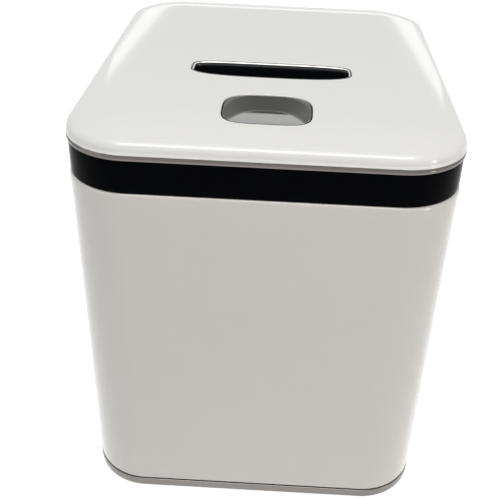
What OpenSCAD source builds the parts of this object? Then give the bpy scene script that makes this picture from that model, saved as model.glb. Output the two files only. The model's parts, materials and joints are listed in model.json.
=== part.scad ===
// Electric food waste composter: a drying and grinding bucket in a rounded
// upright case, under a rear-hinged lid with a push button latch.
// Millimetres. Origin under the middle of the case on the table, +Z up, front at -Y.

/* [Case] */
// Overall width across the bright ring of the lid
body_w = 270; // [264:1:290]
// Overall depth across the bright ring of the lid
body_d = 330; // [324:1:350]
// Plan radius of the vertical corners
corner_r = 47; // [42:1:52]
// Wall of the moulded case
case_wall = 2.8; // [2.2:0.1:3.4]
// How much each side draws in from top to bottom
side_draft = 2.7; // [1:0.1:3.5]
// Height of the white case between the base line and the black band
housing_h = 267.6; // [262:0.2:280]
// Height of the gloss black band
band_h = 23.1; // [22:0.1:26]
// Shadow gap between the black band and the lid ring
seam_gap = 0.4; // [0.3:0.1:0.8]

/* [Base] */
// Height of the feet below the bright base ring
foot_show = 1.5; // [1:0.1:3]
// Radius of each rubber foot
foot_r = 11; // [8:0.5:14]
// Distance of the foot centres from the case outline
foot_inset = 38; // [32:1:48]
// Set-in of the bright base ring from the overall outline
base_inset = 2.6; // [2:0.1:3]
// Height of the bright base ring
base_ring_h = 7; // [6:0.5:9]
// Width of the bright base ring seen from below
base_ring_w = 7; // [5:0.5:9]
// Height of the dark line above the base ring
base_line_h = 1.2; // [0.8:0.1:2]
// Thickness of the base floor
base_floor_t = 3; // [2.4:0.1:4]

/* [Lid] */
// Height of the lid above its bright ring
lid_h = 16.4; // [16:0.1:18]
// Radius of the edge round of the lid
lid_edge_r = 6; // [5:0.5:7]
// Radius of the gentle crown towards the edges of the lid
lid_crown_r = 120; // [110:1:130]
// Shell thickness of the lid
lid_wall = 2.6; // [2:0.1:3]
// Set-in of the white lid from its bright ring
lid_inset = 0.7; // [0.5:0.1:1.2]
// Height of the bright ring under the lid
ring_h = 3.8; // [3.4:0.1:4.4]
// Width of the bright ring seen from below
ring_w = 8; // [7:0.5:9]

/* [Grip and button] */
// Length of the finger slot in the lid
slot_l = 120; // [100:1:130]
// Width of the finger slot
slot_w = 33; // [28:1:36]
// Distance from the middle of the thumb button back to the middle of the finger slot
slot_back = 73; // [70:0.5:76]
// Depth of the finger slot
slot_depth = 21; // [16:1:22]
// Width of the thumb button
button_w = 60; // [54:1:64]
// Depth of the thumb button front to back
button_d = 46; // [44:1:48]
// Distance from the front edge back to the middle of the thumb button
button_front = 50.5; // [49:0.5:52]
// Plan radius of the button corners
button_r = 18; // [14:1:20]
// Radius of the thumb dish in the button
dish_r = 95; // [80:1:120]

/* [Bucket] */
// Outer radius of the bucket
bucket_r = 88; // [84:0.5:89]
// Height of the bucket from its foot to its rim
bucket_h = 150; // [140:1:156]
// Wall of the cast bucket
bucket_wall = 2.2; // [1.8:0.1:3]
// Deck left in front of the well for the latch keeper
well_front = 21; // [20:0.5:23]
// Gap between the bucket wall and the heated well
bucket_gap = 6; // [5:0.5:7]
// Radius of the wire of the bucket handle
bail_wire_r = 2.5; // [2:0.25:3]
// Number of sweeping arms on the rotor
rotor_arms = 3; // [2:1:5]
// Number of fixed blades on the bucket wall
wall_blades = 3; // [2:1:4]

/* [Drive] */
// Radius of the motor can
motor_r = 30; // [26:0.5:32]
// Height of the motor can
motor_h = 32; // [28:1:34]
// Teeth of the motor pinion and of the idler pinion
pinion_teeth = 12; // [11:1:13]
// Teeth of the large idler gear
idler_teeth = 36; // [34:1:38]
// Teeth of the output gear
output_teeth = 42; // [40:1:44]
// Module of the first gear stage
fast_module = 1.5; // [1.4:0.05:1.6]
// Module of the second gear stage
slow_module = 2; // [1.9:0.05:2.1]
// Face width of the output gear
slow_face = 10; // [8:1:11]
// Face width of the large idler gear
fast_face = 8; // [6:1:9]
// Radius of the output shaft
output_shaft_r = 7; // [6:0.5:8]

/* [Filter and fan] */
// Width of the filter drawer front
drawer_w = 176; // [150:1:180]
// Height of the filter drawer front
drawer_h = 75; // [66:1:78]
// Room between the fan frame and the front and back of the filter bay
fan_margin = 6.2; // [5:0.1:8]
// Thickness of the fan frame
fan_t = 20; // [18:1:22]
// Number of fan blades
fan_blades = 7; // [5:1:9]

/* [Rear services] */
// Width of the rear panel
panel_w = 168; // [150:1:168]
// Gap between the rear panel and the filter drawer above it
panel_gap = 15.15; // [13:0.05:20]
// Sideways place of the power inlet
inlet_x = 55; // [46:1:62]
// Sideways place of the rocker switch
switch_x = -55; // [-62:1:-46]
// Height of the inlet and the switch above the table
service_z = 50; // [46:1:54]
// Number of air slots in the rear panel
vent_count = 12; // [6:1:14]

/* [Hidden] */
$fn = 64;

// Clearances
touch = 0.3;
slip = 0.15;
run = 0.05;
eps = 0.02;

// Heights from the table up
z_base_ring = foot_show;
z_base_line = z_base_ring + base_ring_h;
z_housing = z_base_line + base_line_h;
z_band = z_housing + housing_h;
z_seam = z_band + band_h;
z_ring = z_seam + seam_gap;
z_lid = z_ring + ring_h;
z_top = z_lid + lid_h;

// Set-ins of the stacked outlines from the overall outline
housing_inset = 0.2;
band_inset = 0.4;
base_line_in = 2;
rim_inset = housing_inset + side_draft + case_wall + touch;
rim_t = 2.4;
rim_h = 8;
ledge_inset = 20;
lip_inset = 24.5;

// Places on the lid and of the well, from the front edge back
button_y = -body_d / 2 + button_front;
slot_y = button_y + slot_back;
bucket_y = -body_d / 2 + ledge_inset + well_front + bucket_r + bucket_gap;

// Lid crown and edge round, worked out so that both arcs are tangent
lid_r = corner_r - lid_inset;
function crown_drop(x, off) = lid_crown_r - sqrt(pow(lid_crown_r - off, 2) - x * x);
edge_x = lid_r - lid_edge_r;
edge_z = z_top - crown_drop(edge_x, lid_edge_r);
edge_turn = atan2(edge_x, sqrt(pow(lid_crown_r - lid_edge_r, 2) - edge_x * edge_x));

// Deck and well
deck_t = 4;
z_deck = z_seam - 12.4;
z_lip = z_deck - deck_t;
well_wall = 1.5;
well_floor_t = 2;
well_in_r = bucket_r + bucket_gap;
well_out_r = well_in_r + well_wall;
well_flange_r = well_in_r + 8;

// Drive stack
case_floor_t = 3;
case_in_h = 29;
cover_t = 3;
motor_clear = 3.5;
z_motor = z_base_line + motor_clear;
z_case = z_motor + motor_h;
z_cover = z_case + case_floor_t + case_in_h;
z_case_top = z_cover + cover_t;
heater_t = 4;
heater_gap = 5;
z_heater = z_case_top + heater_gap;
z_well = z_heater + heater_t;
z_bucket = z_well + well_floor_t + touch;
z_rim = z_bucket + bucket_h;

// Control board
z_board = z_housing + 8;
board_t = 1.6;
board_w = 134;
board_x = -body_w / 2 + 25;
board_y = bucket_y + 92;
board_d = body_d / 2 - 23 - board_y;

// Gear train: output gear on the bucket axis, idler to its right, motor behind the idler
pressure = 20;
slow_span = slow_module * (pinion_teeth + output_teeth) / 2;
fast_span = fast_module * (pinion_teeth + idler_teeth) / 2;
motor_turn = 60;
idler_at = [slow_span, bucket_y];
motor_at = idler_at + fast_span * [cos(motor_turn), sin(motor_turn)];
z_fast = z_case + case_floor_t + 3;
z_slow = z_fast + fast_face + 4;
axle_r = 3;

// Hinge axis inside the rear edge
hinge_back = 9;
hinge_drop = 12;
hinge_y = body_d / 2 - hinge_back;
hinge_z = z_ring - hinge_drop;
hinge_pin_r = 2.5;
hinge_x = 70;
arm_w = 16;
arm_lead = 6;
arm_y = hinge_y - arm_lead;
arm_t = 6.5;
knuckle_r = 5.5;
barrel_r = hinge_drop - seam_gap;

// Latch
latch_y = button_y - 15;
latch_z = z_ring + 4.4;
latch_pin_r = 1.5;
lever_w = 16;
strike_gap = 0.3;
strike_z = z_deck + 6;
strike_t = 2.5;
nose_top = strike_z - strike_gap - latch_z;
keeper_foot = 14;
latch_plate_z = z_ring + 0.2;
liner_t = 2.4;

// Liner tub around the finger slot
tub_front = body_d / 2 - 50;
tub_back = 27;
tub_side = 27;
tub_drop = 8;

// Rear bay
bay_front = bucket_y + well_out_r + 14.5;
bay_back = body_d / 2 - 4.6;
z_duct_top = z_lip - 4;
duct_h = 30;
z_duct = z_duct_top - duct_h;
z_fan = z_duct - fan_t;
z_bay_top = z_fan;
bay_wall = 2;
bay_w = drawer_w + 8;
bay_h = drawer_h + 4;
z_bay = z_bay_top - bay_h;
z_drawer = z_bay + bay_wall + slip;
face_t = 3;
face_y = body_d / 2 - 2;
fan_y = (bay_front + bay_back) / 2;
fan_side = bay_back - bay_front - 2 * fan_margin;
fan_bore_r = fan_side / 2 - 2.5;

// Rear panel
panel_t = 2.5;
panel_flange = 4;
panel_y = body_d / 2 - 3.4;
z_panel = 22;
panel_h = z_drawer - panel_gap - z_panel;

// A rounded rectangle centred on the origin
module rounded(w, d, r) {
    square([w - 2 * r, d], center = true);
    square([w, d - 2 * r], center = true);
    for (sx = [-1, 1], sy = [-1, 1])
        translate([sx * (w / 2 - r), sy * (d / 2 - r)]) circle(r);
}

// A rounded block standing at height z
module block(w, d, r, z, h) {
    translate([0, 0, z]) linear_extrude(h) rounded(w, d, r);
}

// A rounded block that follows the case outline, set in all round
module outline_block(inset, z, h) {
    block(body_w - 2 * inset, body_d - 2 * inset, corner_r - inset, z, h);
}

// A box from its low corner to its high corner
module box(low, high) {
    translate(low) cube(high - low);
}

// Carries a profile round the case outline: x is the distance outward from the
// corner centres and y is the height
module around() {
    cx = body_w / 2 - corner_r;
    cy = body_d / 2 - corner_r;
    for (turn = [0:3]) {
        half = turn % 2 == 0 ? [cx, cy] : [cy, cx];
        rotate(turn * 90) translate([half[0], half[1]]) {
            rotate_extrude(angle = 90) children();
            rotate([90, 0, 0]) linear_extrude(2 * half[1]) children();
        }
    }
}

// Carries a shape drawn as depth and height along X from x
module along_x(x, length) {
    translate([x, 0, 0]) rotate([90, 0, 90]) linear_extrude(length) children();
}

// Points of an arc about a centre
function arc(c, r, a0, a1, n) = [for (i = [0:n]) c + r * [cos(a0 + (a1 - a0) * i / n), sin(a0 + (a1 - a0) * i / n)]];

// Half section of the lid, from the corner centres out, drawn in by off
function lid_half(off, low) = concat(
    [[0, low], [lid_r - off, low]],
    arc([edge_x, edge_z], lid_edge_r - off, 0, 90 - edge_turn, 8),
    arc([0, z_top - lid_crown_r], lid_crown_r - off, 90 - edge_turn, 90, 10)
);

// The domed lid as a solid, drawn in by off, from height low
module lid_solid(off, low) {
    around() polygon(lid_half(off, low));
    translate([0, 0, low])
        linear_extrude(z_top - off - low)
            square([body_w - 2 * corner_r, body_d - 2 * corner_r], center = true);
}

// Half thickness of a gear tooth, as an angle at radius r
function inv(a) = tan(a) * 180 / PI - a;
function half_tooth(m, n, r, slack) =
    let (base = m * n / 2 * cos(pressure))
    90 / n - slack / (m * n) * 180 / PI + inv(pressure) - inv(acos(min(1, base / max(r, base))));

// An involute gear outline with its first tooth at angle 0
module gear(m, n, bore) {
    slack = 0.12;
    root = m * n / 2 - 1.25 * m;
    tip = m * n / 2 + 0.9 * m;
    rings = [root, m * n / 2 - 0.35 * m, m * n / 2 + 0.35 * m, tip];
    difference() {
        polygon([for (i = [0:n - 1], side = [-1, 1], k = [0:3])
            let (r = rings[side < 0 ? k : 3 - k], a = i * 360 / n + side * half_tooth(m, n, r, slack))
            r * [cos(a), sin(a)]]);
        circle(bore);
    }
}

// A countersunk screw head with its shank pointing down from the origin
module screw(head_r, shank_r, length) {
    cylinder(r = shank_r, h = length);
    translate([0, 0, length]) cylinder(r = head_r, h = 1.6);
}

// ---- Base and case ----

module rubber_feet() {
    color([0.12, 0.12, 0.12])
        for (sx = [-1, 1], sy = [-1, 1])
            translate([sx * (body_w / 2 - foot_inset), sy * (body_d / 2 - foot_inset), 0])
                cylinder(r = foot_r, h = z_base_line - base_floor_t);
}

module base_pan() {
    color([0.15, 0.15, 0.16]) {
        outline_block(base_inset + base_ring_w + touch, z_base_line - base_floor_t, base_floor_t);
        outline_block(base_inset + base_line_in, z_base_line, base_line_h);
        difference() {
            outline_block(rim_inset, z_housing, rim_h);
            outline_block(rim_inset + rim_t, z_housing - eps, rim_h + 2 * eps);
        }
    }
}

module base_ring() {
    color([0.62, 0.61, 0.6])
        around() translate([corner_r - base_inset - base_ring_w, z_base_ring])
            square([base_ring_w, base_ring_h]);
}

module housing_shell() {
    top_x = corner_r - housing_inset;
    low_x = top_x - side_draft;
    color([0.93, 0.92, 0.9]) difference() {
        around() polygon([
            [low_x - case_wall, z_housing], [low_x, z_housing], [top_x, z_band - 0.8],
            [top_x - 0.8, z_band], [top_x - case_wall, z_band]
        ]);
        box([-panel_w / 2 - slip, 100, z_panel], [panel_w / 2 + slip, body_d, z_panel + panel_h]);
        box([-drawer_w / 2 - touch, 100, z_drawer - slip],
            [drawer_w / 2 + touch, body_d, z_drawer + drawer_h + touch]);
    }
}

module hinge_slots() {
    for (s = [-1, 1])
        box([s * hinge_x - arm_w / 2 - 0.6, arm_y - 2.5, hinge_z - knuckle_r - 2],
            [s * hinge_x + arm_w / 2 + 0.6, body_d, z_lid]);
}

module band_collar() {
    wall_x = corner_r - band_inset;
    color([0.03, 0.03, 0.035]) difference() {
        union() {
            around() polygon([
                [wall_x - 3, z_band], [wall_x, z_band], [wall_x, z_seam], [corner_r - ledge_inset, z_seam],
                [corner_r - ledge_inset, z_lip], [corner_r - lip_inset, z_lip],
                [corner_r - lip_inset, z_lip - 3], [corner_r - ledge_inset + 2.5, z_lip - 3],
                [corner_r - ledge_inset + 2.5, z_seam - 3], [wall_x - 3, z_seam - 3]
            ]);
            for (s = [-1, 1])
                box([s * hinge_x - arm_w / 2 - 8, body_d / 2 - ledge_inset + 1, z_lip - 2],
                    [s * hinge_x + arm_w / 2 + 8, body_d / 2 - 2, z_seam - 1]);
        }
        difference() {
            box([-body_w, hinge_y, hinge_z], [body_w, body_d, z_lid]);
            translate([-body_w, hinge_y, hinge_z]) rotate([0, 90, 0]) cylinder(r = barrel_r, h = 2 * body_w);
        }
        hinge_slots();
        translate([-hinge_x - 30, hinge_y, hinge_z]) rotate([0, 90, 0])
            cylinder(r = hinge_pin_r, h = 2 * hinge_x + 60);
    }
}

module deck_screw_places() {
    for (sx = [-1, 1], sy = [-1, 1])
        translate([sx * (body_w / 2 - 30), sy * (body_d / 2 - 34), 0]) children();
}

module top_deck() {
    color([0.06, 0.06, 0.065]) difference() {
        outline_block(ledge_inset + slip, z_lip, deck_t);
        translate([0, bucket_y, z_lip - eps]) cylinder(r = well_in_r, h = deck_t + 2 * eps);
        translate([0, bucket_y, z_deck - 1.2]) cylinder(r = well_in_r + 5, h = 2);
        deck_screw_places() translate([0, 0, z_deck - 1.6]) cylinder(r = 3.2, h = 2);
        deck_screw_places() translate([0, 0, z_lip - eps]) cylinder(r = 1.65, h = deck_t);
    }
}

module deck_screws() {
    color([0.6, 0.6, 0.62]) deck_screw_places()
        translate([0, 0, z_lip]) screw(3, 1.6, deck_t - 1.6);
}

module latch_keeper() {
    bar_y = latch_y + 4.5;
    bar_d = 2.5;
    bar_x = 15.5;
    color([0.7, 0.7, 0.72]) {
        box([-bar_x, bar_y, strike_z], [bar_x, bar_y + bar_d, strike_z + strike_t]);
        for (s = [-1, 1]) {
            box([s * (bar_x - 2) - 2, bar_y, z_deck], [s * (bar_x - 2) + 2, bar_y + bar_d, strike_z + strike_t]);
            box([s * bar_x - 5, bar_y - keeper_foot, z_deck], [s * bar_x + 5, bar_y + bar_d, z_deck + 1.5]);
        }
    }
}

module hinge_pins() {
    color([0.75, 0.75, 0.77])
        for (s = [-1, 1])
            translate([s * hinge_x - arm_w / 2 - 8, hinge_y, hinge_z]) rotate([0, 90, 0])
                cylinder(r = hinge_pin_r, h = arm_w + 16);
}

// ---- Rear services ----

module inlet_outline(grow) {
    rounded(27 + 2 * grow, 20 + 2 * grow, 2.5 + grow);
}

// Places a plan shape upright on the rear panel, extruded toward the rear from y
module on_rear(x, z, y, h) {
    translate([x, y + h, z]) rotate([90, 0, 0]) linear_extrude(h) children();
}

module rear_panel() {
    mid_z = z_panel + panel_h / 2;
    pitch = 11;
    color([0.2, 0.2, 0.21]) difference() {
        union() {
            on_rear(0, mid_z, panel_y - panel_t, panel_t) square([panel_w, panel_h - 2 * slip], center = true);
            on_rear(0, mid_z, panel_y - 2 * panel_t, panel_t)
                square([panel_w + 2 * panel_flange, panel_h - 2 * slip], center = true);
        }
        for (i = [0:vent_count - 1])
            on_rear((i - (vent_count - 1) / 2) * pitch, z_panel + panel_h - 30, 100, 100)
                rounded(4.4, 34, 2.1);
        on_rear(inlet_x, service_z, 100, 100) inlet_outline(slip);
        on_rear(switch_x, service_z, 100, 100) square([19.3, 25.3], center = true);
    }
}

module power_inlet() {
    color([0.05, 0.05, 0.05]) difference() {
        union() {
            on_rear(inlet_x, service_z, panel_y, 2) rounded(33, 26, 4);
            on_rear(inlet_x, service_z, panel_y - 18, 18) inlet_outline(0);
        }
        on_rear(inlet_x, service_z, panel_y - 14, 40) rounded(24, 16.5, 2);
    }
}

module inlet_pins() {
    color([0.8, 0.75, 0.5])
        for (pin = [[-7, -2], [7, -2], [0, 2]])
            on_rear(inlet_x + pin[0], service_z + pin[1], panel_y - 14, 12) square([2, 4], center = true);
}

rocker_y = panel_y - 4.5;
module switch_frame() {
    color([0.05, 0.05, 0.05]) difference() {
        union() {
            on_rear(switch_x, service_z, panel_y, 1.6) rounded(23, 29, 2);
            on_rear(switch_x, service_z, panel_y - 16, 16) square([19, 25], center = true);
        }
        on_rear(switch_x, service_z, panel_y - 12, 40) square([15.4, 22.6], center = true);
        translate([switch_x - 9, rocker_y, service_z]) rotate([0, 90, 0]) cylinder(r = 1.25 + run, h = 18);
    }
}

rocker_tilt = 8;
module switch_rocker() {
    color([0.1, 0.1, 0.1])
        translate([switch_x, rocker_y, service_z]) rotate([rocker_tilt, 0, 0]) {
            along_x(-7.5, 15)
                polygon([[-2, -3], [2, -9.8], [6.6, -9.8], [5.2, 0], [6.6, 9.8], [2, 9.8], [-2, 3]]);
            translate([-8.8, 0, 0]) rotate([0, 90, 0]) cylinder(r = 1.25, h = 17.6);
        }
}

module control_board() {
    color([0.05, 0.3, 0.15]) {
        box([board_x, board_y, z_board], [board_x + board_w, board_y + board_d, z_board + board_t]);
        for (x = [board_x + 6, board_x + board_w - 6], y = [board_y + 6, board_y + board_d - 6])
            translate([x, y, z_housing]) cylinder(r = 3.5, h = z_board - z_housing);
    }
}

// Places a part on the board, x from its left edge and y as a share of its depth
module on_board(x, share, z) {
    translate([board_x + x, board_y + share * board_d, z]) children();
}

module board_parts() {
    z0 = z_board + board_t;
    color([0.2, 0.2, 0.22]) {
        on_board(6, 0.42, z0) cube([38, 0.45 * board_d, 30]);
        for (x = [66, 86])
            on_board(x, 0.72, z0) cylinder(r = 8, h = 26);
        on_board(102, 0.47, z0) cube([22, 0.2 * board_d, 16]);
        on_board(60, 0.12, z0) cube([40, 0.22 * board_d, 3]);
    }
}

// ---- Well and drive ----

duct_in_w = 50;
module heated_well() {
    color([0.75, 0.75, 0.76]) difference() {
        translate([0, bucket_y, 0]) rotate_extrude($fn = 128) polygon([
            [output_shaft_r + 5, z_well], [well_out_r, z_well], [well_out_r, z_lip - 2],
            [well_flange_r, z_lip - 2], [well_flange_r, z_lip], [well_in_r, z_lip],
            [well_in_r, z_well + well_floor_t], [output_shaft_r + 5, z_well + well_floor_t]
        ]);
        box([-duct_in_w / 2, bucket_y, z_duct + 3], [duct_in_w / 2, bay_front, z_duct_top - 3]);
    }
}

module heater_plate() {
    color([0.6, 0.45, 0.3]) difference() {
        translate([0, bucket_y, z_heater]) cylinder(r = well_in_r - 6, h = heater_t);
        translate([0, bucket_y, z_heater - eps]) cylinder(r = output_shaft_r + 9, h = heater_t + 1);
    }
}

module well_jacket() {
    color([0.85, 0.84, 0.8]) difference() {
        translate([0, bucket_y, z_well + 4]) cylinder(r = well_out_r + 6, h = z_lip - z_well - 16, $fn = 128);
        translate([0, bucket_y, z_well]) cylinder(r = well_out_r + touch, h = z_lip, $fn = 128);
        box([-fan_side / 2 - 1, bucket_y, z_duct - 1], [fan_side / 2 + 1, bay_front, z_top]);
    }
}

case_w = motor_at[0] + 66;
case_d = 116;
case_at = [motor_at[0] / 2 - 17, bucket_y, 0];
post_r = 6;
module case_screw_places() {
    for (sx = [-1, 1], sy = [-1, 1])
        translate(case_at + [sx * (case_w / 2 - 9), sy * (case_d / 2 - 9), 0]) children();
}

module gearbox_case() {
    color([0.35, 0.35, 0.37]) difference() {
        translate(case_at) block(case_w, case_d, 16, z_case, case_floor_t + case_in_h);
        difference() {
            translate(case_at) block(case_w - 6, case_d - 6, 13, z_case + case_floor_t, case_in_h + 1);
            case_screw_places() translate([0, 0, z_case]) cylinder(r = 5, h = case_in_h + case_floor_t);
        }
        translate([motor_at[0], motor_at[1], z_case - 1]) cylinder(r = axle_r + 1, h = 10);
        translate([idler_at[0], idler_at[1], z_case - 1]) cylinder(r = axle_r, h = 10);
        translate([0, bucket_y, z_case - 1]) cylinder(r = output_shaft_r + run, h = 10);
    }
}

module gearbox_cover() {
    color([0.3, 0.3, 0.32]) difference() {
        translate(case_at) block(case_w, case_d, 16, z_cover, cover_t);
        translate([0, bucket_y, z_cover - 1]) cylinder(r = output_shaft_r + run, h = 10);
        translate([idler_at[0], idler_at[1], z_cover - 1]) cylinder(r = axle_r, h = 10);
    }
}

module gearbox_posts() {
    left = case_at[0] - case_w / 2 + 9;
    right = case_at[0] + case_w / 2 - 9;
    front = bucket_y - case_d / 2 + 9;
    back = bucket_y + case_d / 2 - 9;
    beside_motor = motor_at[0] - motor_r - post_r - 3;
    color([0.5, 0.5, 0.52])
        for (at = [[left, front], [right, front], [left, back], [beside_motor, back]])
            translate([at[0], at[1], z_housing]) cylinder(r = post_r, h = z_case - z_housing);
}

module motor_can() {
    color([0.6, 0.6, 0.62]) difference() {
        translate([motor_at[0], motor_at[1], z_motor]) cylinder(r = motor_r, h = motor_h);
        translate([motor_at[0], motor_at[1], z_motor + 6]) cylinder(r = axle_r + run, h = motor_h);
    }
}

module motor_pinion() {
    color([0.8, 0.65, 0.3]) translate([motor_at[0], motor_at[1], 0]) {
        translate([0, 0, z_motor + 7]) cylinder(r = axle_r, h = z_fast + fast_face - z_motor - 6);
        translate([0, 0, z_fast - 0.5]) rotate(motor_turn + 180 + 180 / pinion_teeth)
            linear_extrude(fast_face + 1) gear(fast_module, pinion_teeth, axle_r - 1);
    }
}

module idler_gear() {
    color([0.8, 0.8, 0.78]) translate([idler_at[0], idler_at[1], 0]) {
        translate([0, 0, z_fast]) rotate(motor_turn)
            linear_extrude(fast_face) gear(fast_module, idler_teeth, axle_r + run);
        translate([0, 0, z_fast + fast_face - 1]) linear_extrude(z_slow - z_fast - fast_face + 2)
            difference() {
                circle(8);
                circle(axle_r + run);
            }
        translate([0, 0, z_slow]) rotate(180 + 180 / pinion_teeth)
            linear_extrude(slow_face) gear(slow_module, pinion_teeth, axle_r + run);
    }
}

module idler_axle() {
    color([0.75, 0.75, 0.77]) translate([idler_at[0], idler_at[1], z_case])
        cylinder(r = axle_r, h = z_case_top - z_case);
}

dog_r = 9;
dog_top = z_bucket + 14;
module output_gear() {
    color([0.75, 0.75, 0.72]) translate([0, bucket_y, 0]) {
        translate([0, 0, z_slow]) linear_extrude(slow_face)
            gear(slow_module, output_teeth, output_shaft_r - 1);
        translate([0, 0, z_case]) cylinder(r = output_shaft_r, h = z_well + 3 - z_case);
        translate([0, 0, z_well + 3]) cylinder(r = dog_r, h = dog_top - z_well - 3, $fn = 6);
    }
}

module shaft_bush() {
    color([0.8, 0.7, 0.45]) translate([0, bucket_y, z_case_top + 0.5])
        difference() {
            cylinder(r = output_shaft_r + 4.7, h = z_well + well_floor_t - z_case_top - 0.5);
            translate([0, 0, -1]) cylinder(r = output_shaft_r + run, h = 40);
            translate([0, 0, z_well + 2 - z_case_top]) cylinder(r = dog_r + 1, h = 10);
        }
}

// ---- Bucket ----

dome_r = 18;
dome_h = 21;
floor_t = 3;
module bucket() {
    color([0.3, 0.3, 0.31]) difference() {
        translate([0, bucket_y, z_bucket]) rotate_extrude($fn = 128) polygon(concat(
            [[6, dome_h - 3], [dome_r - floor_t, dome_h - 3], [dome_r - floor_t, 0]],
            arc([bucket_r - 10, 10], 10, -90, 0, 6),
            [[bucket_r, bucket_h - 4], [bucket_r + 3, bucket_h - 3], [bucket_r + 3, bucket_h],
             [bucket_r - bucket_wall, bucket_h]],
            [for (p = arc([bucket_r - 10, 10], 10 - bucket_wall, 0, -90, 6)) [p[0], max(p[1], floor_t)]],
            [[dome_r, floor_t], [dome_r, dome_h], [6, dome_h]]
        ));
        for (s = [-1, 1])
            translate([0, bucket_y, bail_z]) rotate([0, s * 90, 0]) cylinder(r = bail_wire_r + run, h = bucket_r + 8);
    }
}
bail_z = z_rim - 8;

module bucket_bush() {
    color([0.8, 0.7, 0.45]) translate([0, bucket_y, z_bucket + dome_h - 4])
        difference() {
            cylinder(r = 6 - run, h = 6);
            translate([0, 0, -1]) cylinder(r = 4 + run, h = 10);
        }
}

blade_z = z_bucket + 33;
module wall_blades_set() {
    color([0.7, 0.7, 0.7])
        for (i = [0:wall_blades - 1])
            translate([0, bucket_y, blade_z]) rotate(30 + i * 360 / wall_blades)
                intersection() {
                    box([34, -2.5, 0], [bucket_r, 2.5, 12]);
                    cylinder(r = bucket_r - bucket_wall - run, h = 12, $fn = 128);
                }
}

module grinding_rotor() {
    hub_r = 24;
    z_hub = z_bucket + floor_t + 1.5;
    color([0.72, 0.72, 0.72]) translate([0, bucket_y, 0]) {
        translate([0, 0, z_hub]) difference() {
            cylinder(r = hub_r, h = 55);
            translate([0, 0, -1]) cylinder(r = dome_r + 1.5, h = 1 + z_bucket + dome_h + 3 - z_hub);
        }
        for (i = [0:rotor_arms - 1]) rotate(i * 360 / rotor_arms) {
            box([hub_r - 3, -4, z_hub + 1], [bucket_r - 12, 4, z_hub + 14]);
            rotate(45) box([hub_r - 3, -3.5, blade_z + 14], [bucket_r - 24, 3.5, z_hub + 52]);
        }
        translate([0, 0, z_bucket + dome_h - 4]) cylinder(r = 4, h = 18);
    }
}

module rotor_socket() {
    color([0.2, 0.2, 0.2]) translate([0, bucket_y, z_bucket + 5])
        difference() {
            cylinder(r = dome_r - floor_t - 1.5, h = dome_h - 9);
            translate([0, 0, -1]) cylinder(r = dog_r + 0.5, h = dog_top - z_bucket - 3.5, $fn = 6);
        }
}

module bucket_handle() {
    bail_r = bucket_r - bucket_wall - bail_wire_r - 1.2;
    color([0.75, 0.75, 0.77]) translate([0, bucket_y, bail_z]) {
        rotate(180) rotate_extrude(angle = 180, $fn = 128) translate([bail_r, 0]) circle(bail_wire_r, $fn = 24);
        for (s = [-1, 1])
            rotate([0, s * 90, 0]) translate([0, 0, bail_r - bail_wire_r]) cylinder(r = bail_wire_r, h = 10);
    }
}

// ---- Fan and filter ----

module fan_frame() {
    color([0.1, 0.1, 0.1]) {
        difference() {
            translate([0, fan_y, 0]) block(fan_side, fan_side, 5, z_fan, fan_t);
            translate([0, fan_y, z_fan - 1]) cylinder(r = fan_bore_r, h = fan_t + 2);
        }
        for (a = [0:120:240])
            translate([0, fan_y, z_fan]) rotate(a) box([8, -1.5, 0], [fan_bore_r + 0.5, 1.5, 2]);
        translate([0, fan_y, z_fan]) difference() {
            cylinder(r = 10, h = 6);
            translate([0, 0, 3]) cylinder(r = 1.5 + run, h = 5);
        }
    }
}

module fan_impeller() {
    color([0.15, 0.15, 0.15]) translate([0, fan_y, z_fan]) {
        translate([0, 0, 7]) cylinder(r = 11, h = fan_t - 9);
        translate([0, 0, 3.2]) cylinder(r = 1.5, h = 5);
        for (i = [0:fan_blades - 1]) rotate(i * 360 / fan_blades)
            translate([10, 0, fan_t / 2 + 2.5]) rotate([35, 0, 0])
                box([0, -6, -0.8], [fan_bore_r - 11.5, 6, 0.8]);
    }
}

module air_duct() {
    w = fan_side;
    color([0.25, 0.25, 0.26]) difference() {
        box([-w / 2, bucket_y + well_in_r - 12, z_duct], [w / 2, fan_y + fan_side / 2, z_duct_top]);
        box([-w / 2 + 2, bucket_y, z_duct + 2], [w / 2 - 2, fan_y + fan_side / 2 - 2, z_duct_top - 2]);
        translate([0, fan_y, z_duct - 1]) cylinder(r = fan_bore_r, h = 6);
        translate([0, bucket_y, z_duct - 1]) cylinder(r = well_out_r + touch, h = duct_h + 2, $fn = 128);
    }
}

module drawer_bay() {
    color([0.3, 0.3, 0.31]) difference() {
        box([-bay_w / 2, bay_front, z_bay], [bay_w / 2, bay_back, z_bay_top]);
        box([-bay_w / 2 + bay_wall, bay_front + bay_wall, z_bay + bay_wall],
            [bay_w / 2 - bay_wall, body_d, z_bay_top - bay_wall]);
        translate([0, fan_y, z_bay_top - 4]) cylinder(r = fan_bore_r, h = 6);
    }
}

tray_h = bay_h - 2 * bay_wall - 2;
tray_front = bay_front + bay_wall + 1;
module filter_drawer() {
    color([0.22, 0.22, 0.23]) difference() {
        union() {
            box([-drawer_w / 2, face_y - face_t, z_drawer], [drawer_w / 2, face_y, z_drawer + drawer_h - 0.6]);
            box([-drawer_w / 2 + 1, tray_front, z_drawer], [drawer_w / 2 - 1, face_y - face_t, z_drawer + tray_h]);
        }
        box([-drawer_w / 2 + 3, tray_front + 2, z_drawer + 2],
            [drawer_w / 2 - 3, face_y - face_t - 1, z_top]);
        for (i = [0:3])
            on_rear(0, z_drawer + 16 + i * 9, 100, 100) rounded(120, 4.4, 2.1);
        on_rear(0, z_drawer + drawer_h - 14, face_y - 2, 20) rounded(70, 14, 6.5);
    }
}

module carbon_block() {
    color([0.08, 0.08, 0.08])
        box([-drawer_w / 2 + 4, tray_front + 3, z_drawer + 2], [drawer_w / 2 - 4, face_y - face_t - 3, z_drawer + 46]);
}

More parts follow.
